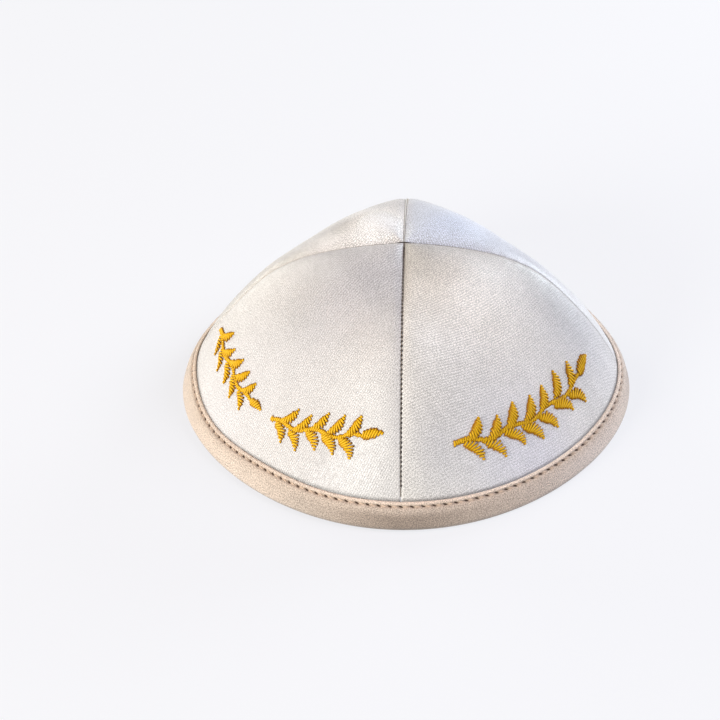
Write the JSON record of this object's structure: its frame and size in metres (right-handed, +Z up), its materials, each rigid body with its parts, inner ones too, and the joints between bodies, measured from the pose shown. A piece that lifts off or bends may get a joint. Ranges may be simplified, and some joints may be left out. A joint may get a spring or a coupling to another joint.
{
  "type": "kippah skullcap",
  "caption": "Soft domed skullcap of cloth gores meeting in a cross at the top, with a folded contrast binding round the rim.",
  "frame": {"origin": "on the surface that the rim rests on, below the crossing of the seams", "axes": "+Z up through the crown, -Y towards the front seam, +X to the right seen from the front"},
  "size_m": [0.1762, 0.1768, 0.0678],
  "materials": {
    "satin": "ivory satin with a fine twill face",
    "binding": "matt champagne bias strip",
    "stitch_thread": "brown sewing thread",
    "gold_thread": "glossy gold embroidery thread"
  },
  "bodies": {
    "root": {"panel_front_left": "satin", "panel_front_right": "satin", "panel_back_right": "satin", "panel_back_left": "satin", "rim_binding": "binding"}
  },
  "joints": []
}
